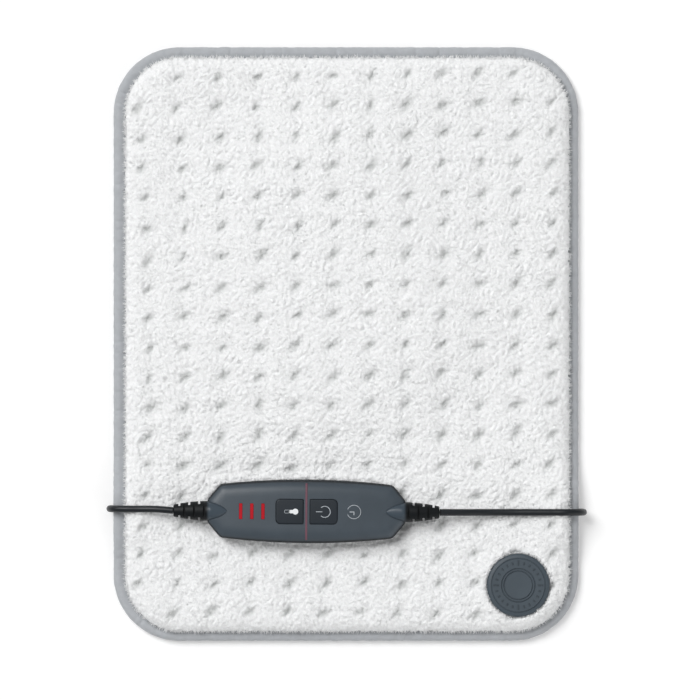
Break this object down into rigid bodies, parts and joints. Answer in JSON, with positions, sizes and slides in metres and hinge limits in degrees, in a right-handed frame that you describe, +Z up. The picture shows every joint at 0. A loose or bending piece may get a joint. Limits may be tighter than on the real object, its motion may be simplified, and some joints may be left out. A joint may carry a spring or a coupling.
{
  "type": "heating pad with controller",
  "caption": "Quilted off-white heating pad with a grey bound edge, an in-line hand controller with push buttons, a round pad connector and dark cords.",
  "frame": {"origin": "middle of the pad's outline, on the surface that the pad lies on", "axes": "+X to the right and +Y up the pad as in the picture, +Z up from the surface"},
  "size_m": [0.3208, 0.396, 0.0358],
  "materials": {
    "pile": "off-white sherpa pile",
    "backing": "light grey cloth over batting",
    "binding": "light grey satin tape",
    "fleece": "non-woven fleece",
    "wire": "insulated heating wire",
    "ceramic_body": "glazed",
    "disc": "fine grain",
    "contact": "plated",
    "steel": "zinc plated",
    "shell": "fine grain",
    "accent": "satin",
    "key": "fine grain",
    "plunger": "plain",
    "dark_plastic": "plain",
    "board": "solder mask",
    "capacitor_case": "gloss",
    "fuse_body": "glazed",
    "terminal": "plain",
    "lead": "insulation",
    "rubber_boot": "satin",
    "red_light": "red lens",
    "light_chip": "plain",
    "cord": "satin",
    "plug_rubber": "satin",
    "tie": "hook and loop strap",
    "pin": "nickel plated"
  },
  "bodies": {
    "pad_and_case": {"front_cover": "pile", "back_cover": "backing", "edge_binding": "binding", "heating_carrier": "fleece", "heating_wire": "wire", "thermal_cutout": "ceramic_body", "connector_cap": "disc", "connector_socket": "disc", "socket_contact_1": "contact", "socket_contact_2": "contact", "socket_contact_3": "contact", "connector_screw_1": "steel", "connector_screw_2": "steel", "upper_shell": "shell", "lower_shell": "shell", "accent_line": "accent", "temperature_switch": "dark_plastic", "power_switch": "dark_plastic", "circuit_board": "board", "capacitor": "capacitor_case", "fuse": "fuse_body", "triac": "dark_plastic", "mains_terminal": "terminal", "pad_terminal": "terminal", "mains_leads": "lead", "pad_leads": "lead", "mains_boot": "rubber_boot", "pad_boot": "rubber_boot", "level_window_1": "red_light", "level_window_2": "red_light", "level_window_3": "red_light", "level_light_1": "light_chip", "level_light_2": "light_chip", "level_light_3": "light_chip", "case_screw_1": "steel", "case_screw_2": "steel", "case_screw_3": "steel", "case_screw_4": "steel", "connecting_cord": "cord", "pad_plug": "plug_rubber", "mains_cord": "cord", "mains_cord_coil": "cord", "mains_cord_tail": "cord", "cord_tie": "tie", "mains_plug": "plug_rubber", "plug_relief": "plug_rubber", "plug_pin_1": "pin", "plug_pin_2": "pin"},
    "temperature_key": {"temperature_button": "key", "temperature_plunger": "plunger"},
    "power_key": {"power_button": "key", "power_plunger": "plunger"}
  },
  "joints": [
    {"name": "temperature_press", "type": "slide", "parent": "pad_and_case", "child": "temperature_key", "axis": [0, 0, -1], "range_m": [0, 0.0006], "stiffness_N_per_m": 300},
    {"name": "power_press", "type": "slide", "parent": "pad_and_case", "child": "power_key", "axis": [0, 0, -1], "range_m": [0, 0.0006], "stiffness_N_per_m": 300}
  ]
}
